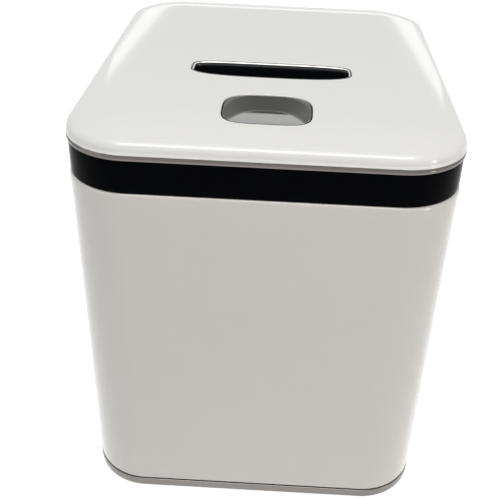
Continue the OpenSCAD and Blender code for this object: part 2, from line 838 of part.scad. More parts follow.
module filter_screen() {
    color([0.8, 0.8, 0.8])
        box([-drawer_w / 2 + 4, tray_front + 3, z_drawer + 46], [drawer_w / 2 - 4, face_y - face_t - 3, z_drawer + 49]);
}

// ---- Lid ----

module slot_shape(grow) {
    rounded(slot_l + 2 * grow, slot_w + 2 * grow, slot_w / 2 + grow - 1);
}

module button_shape(grow) {
    rounded(button_w + 2 * grow, button_d + 2 * grow, button_r + grow);
}

module lid_shell() {
    color([0.93, 0.92, 0.9]) difference() {
        lid_solid(0, z_lid);
        lid_solid(lid_wall, z_lid - 1);
        translate([0, slot_y, z_lid]) linear_extrude(40) slot_shape(touch / 2);
        translate([0, button_y, z_lid]) linear_extrude(40) button_shape(0.6);
    }
}

module lid_ring() {
    color([0.8, 0.8, 0.8])
        around() translate([corner_r - ring_w, z_ring]) square([ring_w, ring_h]);
}

arm_notch_x = arm_w / 2 + touch;
module hinge_screw_places() {
    for (s = [-1, 1], t = [-1, 1])
        translate([s * hinge_x + t * 9, arm_y - 12, 0]) children();
}

module lid_liner() {
    z0 = latch_plate_z;
    tub_low = z0 - tub_drop;
    tub_w = body_w - 2 * tub_side;
    tub_d = body_d / 2 - tub_back + tub_front;
    tub_y = (body_d / 2 - tub_back - tub_front) / 2;
    ear_top = latch_z + 3.5;
    color([0.2, 0.2, 0.21]) difference() {
        union() {
            outline_block(ring_w + touch, z0, liner_t);
            translate([0, tub_y, 0]) block(tub_w, tub_d, 20, tub_low, tub_drop + liner_t);
        }
        translate([0, tub_y, 0]) block(tub_w - 4, tub_d - 4, 18, tub_low + 2, 40);
        for (s = [-1, 1])
            box([s * hinge_x - arm_notch_x, arm_y - touch, z0 - 1], [s * hinge_x + arm_notch_x, body_d, z0 + 5]);
        box([-lever_w / 2 - 1, latch_y - 5.5, z0 - 3.5], [lever_w / 2 + 1, latch_y + 23, z0 + 5]);
        hinge_screw_places() translate([0, 0, z0 - 1]) cylinder(r = 1.65, h = 5);
        around() translate([corner_r - 19.6, z0 - 1]) square([3, 2.2]);
    }
    color([0.2, 0.2, 0.21]) {
        for (s = [-1, 1])
            difference() {
                box([s * (lever_w / 2 + 3) - 1.7, latch_y - 4, z0 + liner_t],
                    [s * (lever_w / 2 + 3) + 1.7, latch_y + 4, ear_top]);
                translate([-30, latch_y, latch_z]) rotate([0, 90, 0]) cylinder(r = latch_pin_r, h = 60);
            }
        translate([0, spring_y, tub_low + 2]) cylinder(r = 7.5, h = spring_z - tub_low - 2);
    }
}

spring_y = button_y + 13.5;
spring_z = z_ring + 2.4;
module lid_gasket() {
    color([0.35, 0.35, 0.36])
        around() translate([corner_r - 19.5, z_ring - 0.2]) square([2.8, 1.55]);
}

module grip_insert() {
    z_floor = z_top - slot_depth;
    color([0.03, 0.03, 0.035]) translate([0, slot_y, 0]) difference() {
        translate([0, 0, z_floor - 2]) linear_extrude(z_top - z_floor + 1.7) slot_shape(0);
        translate([0, 0, z_floor]) linear_extrude(slot_depth + 5) slot_shape(-2);
    }
}

guide_top = z_top - lid_wall - 3.4;
module button_guide() {
    color([0.9, 0.9, 0.88]) translate([0, button_y, 0]) difference() {
        translate([0, 0, latch_plate_z + liner_t]) linear_extrude(guide_top - latch_plate_z - liner_t)
            button_shape(2.4);
        translate([0, 0, z_ring - 1]) linear_extrude(40) button_shape(0.4);
    }
}

button_rim = z_top - 2.4;
ceiling_z = z_top - 7.6;
module lid_button() {
    color([0.6, 0.6, 0.58]) {
        translate([0, button_y, 0]) difference() {
            translate([0, 0, z_ring + 7.8]) linear_extrude(button_rim - z_ring - 7.8) button_shape(-0.3);
            translate([0, 0, z_ring]) linear_extrude(ceiling_z - z_ring) button_shape(-2.3);
            translate([0, 0, button_rim - 2.9 + dish_r]) sphere(r = dish_r, $fn = 180);
        }
        translate([0, latch_y + 19, 0]) {
            box([-5, -2, latch_z + 3.8], [5, 2, ceiling_z]);
            translate([-5, 0, latch_z + 3.8]) rotate([0, 90, 0]) cylinder(r = 2, h = 10);
        }
    }
}

module button_spring() {
    color([0.7, 0.7, 0.72]) translate([0, spring_y, spring_z]) difference() {
        cylinder(r = 5, h = ceiling_z - spring_z - 0.2);
        translate([0, 0, -1]) cylinder(r = 3.8, h = 40);
    }
}

module latch_pin() {
    color([0.75, 0.75, 0.77]) translate([-lever_w / 2 - 4.7, latch_y, latch_z]) rotate([0, 90, 0])
        cylinder(r = latch_pin_r, h = lever_w + 9.4);
}

module latch_lever() {
    color([0.7, 0.7, 0.5]) translate([0, latch_y, latch_z]) difference() {
        union() {
            translate([-lever_w / 2, 0, 0]) rotate([0, 90, 0]) cylinder(r = 3.5, h = lever_w);
            box([-lever_w / 2, 0, -1.5], [lever_w / 2, 20, 1.5]);
            box([-lever_w / 2, -3.5, nose_top - 2.5], [lever_w / 2, 0.5, 0]);
            box([-lever_w / 2, -3.5, nose_top - 2.5], [lever_w / 2, 6, nose_top]);
        }
        translate([-lever_w, 0, 0]) rotate([0, 90, 0]) cylinder(r = latch_pin_r + run, h = 2 * lever_w);
    }
}

module hinge_arms() {
    z0 = latch_plate_z + liner_t;
    color([0.6, 0.6, 0.62]) difference() {
        for (s = [-1, 1]) {
            box([s * hinge_x - arm_w / 2, arm_y, hinge_z], [s * hinge_x + arm_w / 2, arm_y + arm_t, z0 + 2.4]);
            box([s * hinge_x - 14, arm_y - 18, z0], [s * hinge_x + 14, arm_y + arm_t, z0 + 2.4]);
            translate([s * hinge_x - arm_w / 2, hinge_y, hinge_z]) rotate([0, 90, 0])
                cylinder(r = knuckle_r, h = arm_w);
        }
        translate([-hinge_x - 30, hinge_y, hinge_z]) rotate([0, 90, 0])
            cylinder(r = hinge_pin_r + run, h = 2 * hinge_x + 60);
        hinge_screw_places() translate([0, 0, z0 - 1]) cylinder(r = 1.65, h = 5);
    }
}

module hinge_screws() {
    z0 = latch_plate_z;
    color([0.6, 0.6, 0.62]) hinge_screw_places()
        translate([0, 0, z0 - 0.4]) screw(3, 1.6, liner_t + 2.8);
}

rubber_feet();
base_pan();
base_ring();
housing_shell();
band_collar();
top_deck();
latch_keeper();
hinge_pins();
rear_panel();
power_inlet();
inlet_pins();
switch_frame();
control_board();
board_parts();
heated_well();
heater_plate();
well_jacket();
gearbox_case();
gearbox_cover();
gearbox_posts();
motor_can();
idler_axle();
shaft_bush();
fan_frame();
air_duct();
drawer_bay();
output_gear();
idler_gear();
motor_pinion();
fan_impeller();
bucket();
bucket_bush();
wall_blades_set();
grinding_rotor();
rotor_socket();
bucket_handle();
filter_drawer();
carbon_block();
filter_screen();
switch_rocker();
lid_shell();
lid_ring();
lid_liner();
lid_gasket();
grip_insert();
button_guide();
latch_pin();
button_spring();
hinge_arms();
hinge_screws();
lid_button();
latch_lever();
deck_screws();
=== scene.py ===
import json
import math
import bmesh
import bpy
import numpy as np
from mathutils import Matrix, Vector


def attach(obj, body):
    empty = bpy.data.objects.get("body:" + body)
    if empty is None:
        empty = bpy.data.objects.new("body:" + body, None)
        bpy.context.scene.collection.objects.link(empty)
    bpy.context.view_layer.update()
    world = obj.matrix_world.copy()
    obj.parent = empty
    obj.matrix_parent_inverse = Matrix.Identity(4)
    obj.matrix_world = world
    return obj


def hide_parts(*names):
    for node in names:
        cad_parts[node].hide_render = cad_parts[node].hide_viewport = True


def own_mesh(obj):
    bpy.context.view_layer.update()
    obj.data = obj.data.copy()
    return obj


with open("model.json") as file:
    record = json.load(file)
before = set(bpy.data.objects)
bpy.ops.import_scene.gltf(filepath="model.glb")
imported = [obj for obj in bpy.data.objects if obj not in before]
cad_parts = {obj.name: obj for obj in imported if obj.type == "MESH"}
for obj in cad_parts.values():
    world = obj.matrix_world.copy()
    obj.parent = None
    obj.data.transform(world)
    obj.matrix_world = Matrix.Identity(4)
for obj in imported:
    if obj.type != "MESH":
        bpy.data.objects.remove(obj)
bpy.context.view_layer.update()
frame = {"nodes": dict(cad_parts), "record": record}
print("frame loaded:", len(frame["nodes"]), "nodes")

mm = 0.001

# The outline that every ring of the case follows, in millimetres
case = {"width": 270.0, "depth": 330.0, "cornerRadius": 47.0}

# The photograph's viewpoint, worked out from the outlines of the lid, band and base: degrees, mm and pixels
viewpoint = {
    "azimuth": 1.037, "elevation": 31.16, "roll": 2.42,
    "distance": 705.7, "target": (2.2, 0.0, 158.7),
    "focalPixels": 783.1, "centrePixel": (268.7, 226.9), "imagePixels": 500.0,
    "sensorWidth": 36.0, "clipStart": 0.01,
}


def makeCamera(v):
    az, el, roll = (math.radians(v[k]) for k in ("azimuth", "elevation", "roll"))
    back = Vector((math.sin(az) * math.cos(el), -math.cos(az) * math.cos(el), math.sin(el)))
    right = (-back).cross(Vector((0, 0, 1))).normalized()
    up = right.cross(-back)
    turnedRight = right * math.cos(roll) + up * math.sin(roll)
    turnedUp = -right * math.sin(roll) + up * math.cos(roll)
    data = bpy.data.cameras.new("photoCamera")
    data.sensor_width = v["sensorWidth"]
    data.lens = v["focalPixels"] / v["imagePixels"] * v["sensorWidth"]
    data.shift_x = (v["imagePixels"] / 2 - v["centrePixel"][0]) / v["imagePixels"]
    data.shift_y = (v["centrePixel"][1] - v["imagePixels"] / 2) / v["imagePixels"]
    data.clip_start = v["clipStart"]
    camera = bpy.data.objects.new("photoCamera", data)
    bpy.context.scene.collection.objects.link(camera)
    place = (Vector(v["target"]) + back * v["distance"]) * mm
    basis = Matrix((turnedRight, turnedUp, back)).transposed().to_4x4()
    camera.matrix_world = Matrix.Translation(place) @ basis
    bpy.context.scene.camera = camera


makeCamera(viewpoint)
bpy.context.scene.view_settings.view_transform = "Standard"

# Finishes


def nodeTree(name):
    # A bare material: its tree, its shader and the object coordinates that patterns are laid on
    material = bpy.data.materials.new(name)
    material.use_nodes = True
    tree = material.node_tree
    tree.nodes.clear()
    output = tree.nodes.new("ShaderNodeOutputMaterial")
    shader = tree.nodes.new("ShaderNodeBsdfPrincipled")
    tree.links.new(shader.outputs["BSDF"], output.inputs["Surface"])
    coords = tree.nodes.new("ShaderNodeTexCoord")
    return material, tree, shader, coords.outputs["Object"]


def addNoise(tree, vector, scale, detail, stretch=None):
    if stretch is not None:
        mapping = tree.nodes.new("ShaderNodeMapping")
        mapping.inputs["Scale"].default_value = stretch
        tree.links.new(vector, mapping.inputs["Vector"])
        vector = mapping.outputs["Vector"]
    noise = tree.nodes.new("ShaderNodeTexNoise")
    noise.inputs["Scale"].default_value = scale
    noise.inputs["Detail"].default_value = detail
    tree.links.new(vector, noise.inputs["Vector"])
    return noise.outputs["Fac"]


def remap(tree, value, low, high, fromLow=0.3, fromHigh=0.7):
    node = tree.nodes.new("ShaderNodeMapRange")
    node.inputs["From Min"].default_value = fromLow
    node.inputs["From Max"].default_value = fromHigh
    node.inputs["To Min"].default_value = low
    node.inputs["To Max"].default_value = high
    tree.links.new(value, node.inputs["Value"])
    return node.outputs["Result"]


def blendColours(tree, factor, first, second):
    node = tree.nodes.new("ShaderNodeMix")
    node.data_type = "RGBA"
    node.inputs["A"].default_value = (*first, 1)
    node.inputs["B"].default_value = (*second, 1)
    tree.links.new(factor, node.inputs["Factor"])
    return node.outputs["Result"]


def addBump(tree, shader, height, strength, distance):
    bump = tree.nodes.new("ShaderNodeBump")
    bump.inputs["Strength"].default_value = strength
    bump.inputs["Distance"].default_value = distance
    tree.links.new(height, bump.inputs["Height"])
    tree.links.new(bump.outputs["Normal"], shader.inputs["Normal"])


# One row per finish: colour, the share of it that patches fall to, roughness range, scale of patches and of
# grain, depth and strength of grain, and metal, coat or specular where it has them
finishes = {
    "whiteGloss": dict(colour=(0.665, 0.64, 0.605), shift=0.985, rough=(0.14, 0.20), coat=0.4, coatRough=0.06,
                       patch=5.0, grain=260.0, depth=0.00002, strength=0.05),
    "lidGloss": dict(colour=(0.84, 0.835, 0.81), shift=0.985, rough=(0.08, 0.12), coat=0.1, coatRough=0.03,
                     patch=5.0, grain=240.0, depth=0.00002, strength=0.04),
    "pianoBlack": dict(colour=(0.0008, 0.0011, 0.0018), shift=0.8, rough=(0.03, 0.06), specular=0.015,
                       patch=12.0, grain=300.0, depth=0.00001, strength=0.03),
    "slotBlack": dict(colour=(0.004, 0.0048, 0.006), shift=0.8, rough=(0.05, 0.10), coat=0.0, coatRough=0.02,
                      patch=12.0, grain=300.0, depth=0.00001, strength=0.03),
    "satinBlack": dict(colour=(0.028, 0.028, 0.030), shift=0.86, rough=(0.34, 0.46), patch=20.0,
                       grain=1600.0, depth=0.00006, strength=0.25),
    "greyGloss": dict(colour=(0.034, 0.034, 0.029), shift=0.94, rough=(0.04, 0.07), coat=0.2, coatRough=0.03,
                      specular=0.3, patch=16.0, grain=300.0, depth=0.00001, strength=0.03),
    "darkTexture": dict(colour=(0.055, 0.055, 0.058), shift=0.85, rough=(0.48, 0.62), patch=18.0,
                        grain=1300.0, depth=0.00012, strength=0.45),
    "blackTexture": dict(colour=(0.022, 0.022, 0.023), shift=0.85, rough=(0.42, 0.58), patch=24.0,
                         grain=1500.0, depth=0.0001, strength=0.4),
    "rubberBlack": dict(colour=(0.030, 0.030, 0.031), shift=0.8, rough=(0.68, 0.82), patch=40.0,
                        grain=900.0, depth=0.0001, strength=0.4),
    "whiteSatin": dict(colour=(0.74, 0.73, 0.70), shift=0.96, rough=(0.32, 0.42), patch=10.0,
                       grain=900.0, depth=0.00005, strength=0.2),
    # Bright metal for the strip on the slot's bevel: a painted highlight that stands in for the light on the black
    # lip
    "highlightTrim": dict(colour=(0.74, 0.74, 0.73), shift=0.95, rough=(0.10, 0.16), patch=30, grain=900,
                       depth=0.00002, strength=0.1, metal=1.0),
    "brightChrome": dict(colour=(0.20, 0.185, 0.175), shift=0.55, rough=(0.06, 0.11), metal=1.0, patch=9.0,
                         grain=200.0, depth=0.00001, strength=0.03),
    "satinRing": dict(colour=(0.215, 0.20, 0.19), shift=0.85, rough=(0.22, 0.30), metal=1.0, patch=14.0,
                      grain=1500.0, depth=0.00003, strength=0.15),
    "platedSteel": dict(colour=(0.60, 0.60, 0.62), shift=0.9, rough=(0.22, 0.34), metal=1.0, patch=60.0,
                        grain=1500.0, depth=0.00003, strength=0.2),
    "turnedBrass": dict(colour=(0.74, 0.56, 0.26), shift=0.88, rough=(0.24, 0.36), metal=1.0, patch=80.0,
                        grain=1500.0, depth=0.00003, strength=0.2),
    "drawnAluminium": dict(colour=(0.76, 0.76, 0.77), shift=0.92, rough=(0.26, 0.36), metal=1.0, patch=16.0,
                           grain=500.0, depth=0.00004, strength=0.22, stretch=(1, 1, 14)),
    "castMetal": dict(colour=(0.46, 0.46, 0.47), shift=0.82, rough=(0.40, 0.55), metal=1.0, patch=40.0,
                      grain=700.0, depth=0.00018, strength=0.5),
    "bucketCoat": dict(colour=(0.045, 0.045, 0.048), shift=0.8, rough=(0.30, 0.42), metal=0.35, patch=26.0,
                       grain=1100.0, depth=0.00008, strength=0.35),
    "naturalNylon": dict(colour=(0.76, 0.73, 0.65), shift=0.94, rough=(0.38, 0.48), patch=40.0,
                         grain=900.0, depth=0.00004, strength=0.2),
    "boardGreen": dict(colour=(0.015, 0.14, 0.06), shift=0.72, rough=(0.28, 0.44), patch=160.0,
                       grain=700.0, depth=0.00006, strength=0.3),
    "micaPlate": dict(colour=(0.42, 0.31, 0.18), shift=0.8, rough=(0.5, 0.66), patch=60.0,
                      grain=900.0, depth=0.0001, strength=0.4),
    "glassFelt": dict(colour=(0.74, 0.72, 0.66), shift=0.86, rough=(0.82, 0.95), patch=90.0,
                      grain=650.0, depth=0.0007, strength=0.8),
    "carbonGrain": dict(colour=(0.018, 0.018, 0.018), shift=0.5, rough=(0.7, 0.9), patch=220.0,
                        grain=480.0, depth=0.0008, strength=0.9),
}


noiseDetail = {"patch": 4.0, "grain": 2.0}


def makeFinish(name, colour, shift, rough, patch, grain, depth, strength,
               metal=0.0, coat=0.0, coatRough=0.03, stretch=None, specular=0.5):
    material, tree, shader, where = nodeTree(name)
    shader.inputs["Metallic"].default_value = metal
    shader.inputs["Specular IOR Level"].default_value = specular
    shader.inputs["Coat Weight"].default_value = coat
    shader.inputs["Coat Roughness"].default_value = coatRough
    patches = addNoise(tree, where, patch, noiseDetail["patch"])
    toned = tuple(c * shift for c in colour)
    tree.links.new(blendColours(tree, patches, colour, toned), shader.inputs["Base Color"])
    tree.links.new(remap(tree, patches, *rough), shader.inputs["Roughness"])
    grains = addNoise(tree, where, grain, noiseDetail["grain"], stretch)
    addBump(tree, shader, grains, strength, depth)
    return material


materials = {name: makeFinish(name, **values) for name, values in finishes.items()}
print("finishes made:", len(materials))

# The finish of each record slot, for the nodes that keep their own shape
slotFinish = {
    "rubber": "rubberBlack", "dark_plastic": "darkTexture", "satin_ring": "satinRing",
    "white_gloss": "whiteGloss", "black_gloss": "pianoBlack", "deck_plastic": "satinBlack", "steel": "platedSteel",
    "black_plastic": "blackTexture", "brass": "turnedBrass", "board_green": "boardGreen",
    "aluminium": "drawnAluminium", "heater_mica": "micaPlate", "insulation": "glassFelt",
    "cast_metal": "castMetal", "gear_steel": "platedSteel", "gear_nylon": "naturalNylon",
    "bucket_coating": "bucketCoat", "carbon": "carbonGrain", "white_felt": "glassFelt",
    "chrome": "brightChrome", "white_satin": "whiteSatin", "grey_gloss": "greyGloss",
}
for part in frame["record"]["subparts"]:
    node = frame["nodes"][part["node"]]
    node.data.materials.clear()
    node.data.materials.append(materials[slotFinish[part["material_slot"]]])

# Mesh helpers


def gridQuads(rows, columns, wrapRows=False, wrapColumns=False, start=0):
    # Corner numbers of the faces of a grid of points, wrapped round where asked
    r = np.arange(rows if wrapRows else rows - 1)
    c = np.arange(columns if wrapColumns else columns - 1)
    r, c = (k.ravel() for k in np.meshgrid(r, c, indexing="ij"))
    r2, c2 = (r + 1) % rows, (c + 1) % columns
    return start + np.stack([r * columns + c, r2 * columns + c, r2 * columns + c2, r * columns + c2], 1)


def addPiece(name, points, quads, finish, body, replaced, mergeAt=0.00001):
    # Points in mm; those closer than mergeAt, in metres, become one, so seams and poles close
    mesh = bpy.data.meshes.new(name)
    mesh.from_pydata((np.asarray(points) * mm).tolist(), [], np.asarray(quads).tolist())
    mesh.validate()
    piece = bpy.data.objects.new(name, mesh)
    bpy.context.scene.collection.objects.link(piece)
    shape = bmesh.new()
    shape.from_mesh(mesh)
    bmesh.ops.remove_doubles(shape, verts=shape.verts, dist=mergeAt)
    bmesh.ops.dissolve_degenerate(shape, edges=shape.edges, dist=mergeAt / 2)
    bmesh.ops.recalc_face_normals(shape, faces=shape.faces)
    shape.to_mesh(mesh)
    shape.free()
    mesh.polygons.foreach_set("use_smooth", np.ones(len(mesh.polygons), dtype=bool))
    mesh.materials.append(materials[finish])
    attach(piece, body)
    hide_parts(*replaced)
    return piece


def addGrid(name, grid, finish, body, replaced, wrapRows=False):
    # A piece from rows of points, each row closed on itself
    quads = gridQuads(*grid.shape[:2], wrapRows=wrapRows, wrapColumns=True)
    return addPiece(name, grid.reshape(-1, 3), quads, finish, body, replaced)


def cornerCentre():
    return case["width"] / 2 - case["cornerRadius"], case["depth"] / 2 - case["cornerRadius"]


def sweepOutline(profile, path):
    # Each outline point carries the profile of (set-in, height) pairs: the point moves in along its direction
    centres, directions = path
    inset, height = np.asarray(profile, float).T
    reach = case["cornerRadius"] - inset
    plan = centres[:, None, :] + directions[:, None, :] * reach[None, :, None]
    return np.concatenate([plan, np.broadcast_to(height[None, :, None], plan.shape[:2] + (1,))], 2)


def roundedProfile(corners, steps, straight=0.9999):
    # A closed profile through corners of (set-in, height, round), each an arc between its tangent points
    points = []
    count = len(corners)
    for k in range(count):
        here = np.array(corners[k][:2], float)
        before = np.array(corners[k - 1][:2], float) - here
        after = np.array(corners[(k + 1) % count][:2], float) - here
        before, after = before / np.linalg.norm(before), after / np.linalg.norm(after)
        cosine = np.clip(before @ after, -straight, straight)
        half = math.acos(cosine) / 2
        radius = corners[k][2]
        reach = radius / math.tan(half)
        middle = here + (before + after) / np.linalg.norm(before + after) * radius / math.sin(half)
        first, last = here + before * reach - middle, here + after * reach - middle
        t = np.linspace(0, 1, steps + 1)[:, None]
        sweep = math.acos(np.clip(first @ last / radius ** 2, -1, 1))
        arc = (np.sin((1 - t) * sweep) * first + np.sin(t * sweep) * last) / max(math.sin(sweep), 1e-9)
        points.extend(middle + arc)
    return np.array(points)


# Case: white body, black band, base ring


def splitPath(sideMarks=(), endMarks=(), corners=24, spacing=8.0):
    # The outline walked anticlockwise from the front of the right side, with a point at every mark.
    # Each point is a corner centre (or a place between two) and its outward direction.
    cx, cy = cornerCentre()

    def along(first, last, wanted):
        stops = [first] + [m for m in wanted if min(first, last) < m < max(first, last)] + [last]
        stops = sorted(set(stops), reverse=first > last)
        return np.concatenate([np.linspace(a, b, max(2, int(abs(b - a) / spacing) + 2))[:-1]
                               for a, b in zip(stops, stops[1:])])

    # One row per side: its outward direction, the corner centres it runs between, its marks
    sides = [((1.0, 0.0), (cx, -cy), (cx, cy), sideMarks), ((0.0, 1.0), (cx, cy), (-cx, cy), endMarks),
             ((-1.0, 0.0), (-cx, cy), (-cx, -cy), sideMarks), ((0.0, -1.0), (-cx, -cy), (cx, -cy), ())]
    turn = np.radians(np.linspace(0, 90, corners + 1))[:-1, None]
    centres, directions = [], []
    for (outX, outY), first, last, marks in sides:
        moving = 1 if outX else 0
        run = along(first[moving], last[moving], marks)
        side = np.tile(first, (len(run), 1))
        side[:, moving] = run
        # After the side, its direction turns a quarter round the corner centre
        turning = np.cos(turn) * np.array([outX, outY]) + np.sin(turn) * np.array([-outY, outX])
        centres += [side, np.tile(last, (corners, 1))]
        directions += [np.tile([outX, outY], (len(run), 1)), turning]
    return np.concatenate(centres), np.concatenate(directions)


def openSweep(profile, path, holes, rearFrom=100.0):
    # An open skin: the profile runs up the case at every outline point, faces inside a hole left out.
    # A hole is (x low, x high, z low, z high) on the rear, behind rearFrom.
    points = sweepOutline(profile, path)
    quads = gridQuads(*points.shape[:2], wrapRows=True)
    flat = points.reshape(-1, 3)
    x, y, z = flat[quads].mean(axis=1).T
    keep = np.ones(len(quads), dtype=bool)
    for x0, x1, z0, z1 in holes:
        keep &= ~((x > x0) & (x < x1) & (z > z0) & (z < z1) & (y > rearFrom))
    return flat, quads[keep]


def softEdges(piece, edge, segments=3, angle=40, harden=True):
    bevel = piece.modifiers.new("edges", "BEVEL")
    bevel.width = edge * mm
    bevel.segments = segments
    bevel.limit_method = "ANGLE"
    bevel.angle_limit = math.radians(angle)
    bevel.harden_normals = harden


def giveWall(piece, thickness, edge=0.0, segments=3, angle=40):
    wall = piece.modifiers.new("wall", "SOLIDIFY")
    wall.thickness = thickness * mm
    wall.offset = -1
    if edge > 0:
        softEdges(piece, edge, segments, angle)


white = {
    "bottom": 9.7, "top": 277.3, "setIn": 0.2, "draft": 2.7, "wall": 2.6, "wallEdge": 0.5, "edge": 3.0,
    "footRound": 1.0, "tuck": 2.4, "arcPoints": 11, "wallRows": 18,
    # Openings at the rear: x low, x high, z low, z high
    "panel": (-84.15, 84.15, 22.0, 138.0), "drawer": (-88.3, 88.3, 153.0, 228.45),
}


def whiteProfile(w):
    # Straight drafted wall, its foot and its top edge turned in on small arcs, heights falling on the openings
    low, high = w["setIn"] + w["draft"], w["setIn"]
    foot, head = w["footRound"], w["edge"]
    t = np.radians(np.linspace(0, 90, w["arcPoints"]))
    footArc = np.stack([low + foot - foot * np.sin(t), w["bottom"] + foot - foot * np.cos(t)], 1)
    headArc = np.stack([high + head * (1 - np.cos(t)), w["top"] - head + head * np.sin(t)], 1)
    rows = np.linspace(w["bottom"] + foot, w["top"] - head, w["wallRows"])[1:-1]
    z = np.unique(np.concatenate([rows, w["panel"][2:], w["drawer"][2:]]))
    side = np.stack([low + (high - low) * (z - w["bottom"]) / (w["top"] - w["bottom"]), z], 1)
    return np.concatenate([[[low + w["tuck"], w["bottom"]]], footArc, side, headArc])


def makeWhiteBody(w):
    path = splitPath(endMarks=(*w["panel"][:2], *w["drawer"][:2]))
    points, quads = openSweep(whiteProfile(w), path, (w["panel"], w["drawer"]))
    piece = addPiece("whiteBody", points, quads, "whiteGloss", "case", ("housing_shell",))
    giveWall(piece, w["wall"], w["wallEdge"])


band = {
    "bottom": 277.3, "top": 300.4, "setIn": 0.9, "tuck": 2.6, "lowEdge": 0.5, "topEdge": 0.9,
    "wall": 2.4, "wallEdge": 0.3, "ledge": 20.0, "ledgeRound": 1.0,
    "dropRow": 290.0, "lip": 284.0, "lipRound": 0.6, "lipSetIn": 24.5,
    # Heights on the wall and set-ins on the ledge that carry a row of points
    "wallRows": (285, 288, 291, 293, 295, 297), "ledgeRows": (2.5, 3.5, 4.5, 6.0, 7.5, 9.0, 12.0, 15.0, 17.5),
    "hingeY": 156.0, "hingeZ": 288.8, "barrel": 11.6,
    "slotX": 70.0, "slotHalf": 8.6, "slotFront": 147.5, "slotFloor": 281.3,
}


def bandProfile(b):
    # Foot arc, wall, top arc, flat ledge, then a rounded drop to the inner lip
    t = np.radians(np.linspace(0, 90, 7))
    low, high, r = b["lowEdge"], b["topEdge"], b["ledgeRound"]
    foot = np.stack([b["setIn"] + low * (1 - np.sin(t)), b["bottom"] + low * (1 - np.cos(t))], 1)
    wallZ = np.array([b["slotFloor"], *b["wallRows"]])
    wall = np.stack([np.full_like(wallZ, b["setIn"]), wallZ], 1)
    head = np.stack([b["setIn"] + high * (1 - np.cos(t)), b["top"] - high + high * np.sin(t)], 1)
    ledgeX = np.array(b["ledgeRows"])
    ledge = np.stack([ledgeX, np.full_like(ledgeX, b["top"])], 1)
    inner = np.stack([b["ledge"] - r + r * np.sin(t), b["top"] - r + r * np.cos(t)], 1)
    drop = [[b["ledge"], b["dropRow"]], [b["ledge"], b["lip"] + b["lipRound"]],
            [b["ledge"] + b["lipRound"], b["lip"]], [b["lipSetIn"], b["lip"]]]
    return np.concatenate([[[b["setIn"] + b["tuck"], b["bottom"]]], foot, wall, head, ledge, inner, drop])


def makeBand(b):
    # The profile round the outline; behind the hinge axis the height follows the round of the hinge barrel
    marks = [s * b["slotX"] + k * b["slotHalf"] for s in (-1, 1) for k in (-1, 1)]
    points = sweepOutline(bandProfile(b), splitPath(endMarks=sorted(marks), spacing=5.0))
    y = points[..., 1]
    behind = np.clip(y - b["hingeY"], 0, b["barrel"])
    barrel = b["hingeZ"] + np.sqrt(b["barrel"] ** 2 - behind ** 2)
    points[..., 2] = np.where(y > b["hingeY"], np.minimum(points[..., 2], barrel), points[..., 2])
    quads = gridQuads(*points.shape[:2], wrapRows=True)
    flat = points.reshape(-1, 3)
    middle = flat[quads].mean(axis=1)
    inSlot = np.abs(np.abs(middle[:, 0]) - b["slotX"]) < b["slotHalf"]
    inSlot &= (middle[:, 1] > b["slotFront"]) & (middle[:, 2] > b["slotFloor"])
    piece = addPiece("blackBand", flat, quads[~inSlot], "pianoBlack", "case", ("band_collar",))
    giveWall(piece, b["wall"], b["wallEdge"], segments=2, angle=50)


baseBand = {"bottom": 1.5, "top": 8.5, "setIn": 2.6, "width": 7.0, "round": 0.9, "innerRound": 0.4}


def carryBar(corners):
    # A closed bar with rounded corners carried round the outline
    return sweepOutline(roundedProfile(corners, 6), splitPath(corners=32))


def makeBaseRing(b):
    # A rectangle, its outer corners rounder than its inner ones
    low, high = b["setIn"], b["setIn"] + b["width"]
    bar = carryBar([(low, b["bottom"], b["round"]), (high, b["bottom"], b["innerRound"]),
                    (high, b["top"], b["innerRound"]), (low, b["top"], b["round"])])
    addGrid("baseRing", bar, "satinRing", "case", ("base_ring",), wrapRows=True)


makeWhiteBody(white)
makeBand(band)
makeBaseRing(baseBand)
print("case made")

# Lid, its ring, the finger slot and the button

lid = {
    "bottom": 304.6, "top": 321.0, "setIn": 0.7, "tuck": 2.4, "edgeRadius": 6.0, "crownRadius": 120.0, "wall": 2.4,
    "bead": 0.65, "beadHeight": 1.9, "beadLift": 0.25, "beadTuck": 0.2,
    # Set-in of the cut line, the two lines that split the area inside it, and the point that closes the rear
    "cut": 12.0, "splits": (-76.0, -10.0), "backY": 72.0, "columns": 61,
    "button": {"y": -114.5, "half": (30.4, 23.4), "powers": (3.1, 4.6), "rim": 0.9, "fall": 2.0, "rings": 22},
    "slot": {"y": -41.5, "half": (60.1, 16.6), "powers": (5.5, 3.0), "rim": 0.9, "fall": 1.6, "rings": 16},
}


def lidEdgeCentre(p):
    # Where the edge arc touches the crown arc from inside: the edge circle's height follows from the two radii
    reach = case["cornerRadius"] - p["setIn"]
    x = reach - p["edgeRadius"]
    z = p["top"] - p["crownRadius"] + math.sqrt((p["crownRadius"] - p["edgeRadius"]) ** 2 - x ** 2)
    return x, z


def lidHeight(p, reach):
    # Height above a point whose distance from the corner centre line is reach:
    # flat at zero, a large crown arc, then the edge arc down to the side
    reach = np.clip(reach, 0, case["cornerRadius"] - p["setIn"])
    x, z = lidEdgeCentre(p)
    turn = math.atan2(x, z - (p["top"] - p["crownRadius"]))
    crown = p["top"] - p["crownRadius"] + np.sqrt(p["crownRadius"] ** 2 - reach ** 2)
    edge = z + np.sqrt(np.clip(p["edgeRadius"] ** 2 - np.clip(reach - x, 0, None) ** 2, 0, None))
    return np.where(reach > p["crownRadius"] * math.sin(turn), edge, crown)


def reachOf(x, y):
    # Distance of a plan point from the rectangle of the corner centres
    cx, cy = cornerCentre()
    return np.hypot(np.clip(np.abs(x) - cx, 0, None), np.clip(np.abs(y) - cy, 0, None))


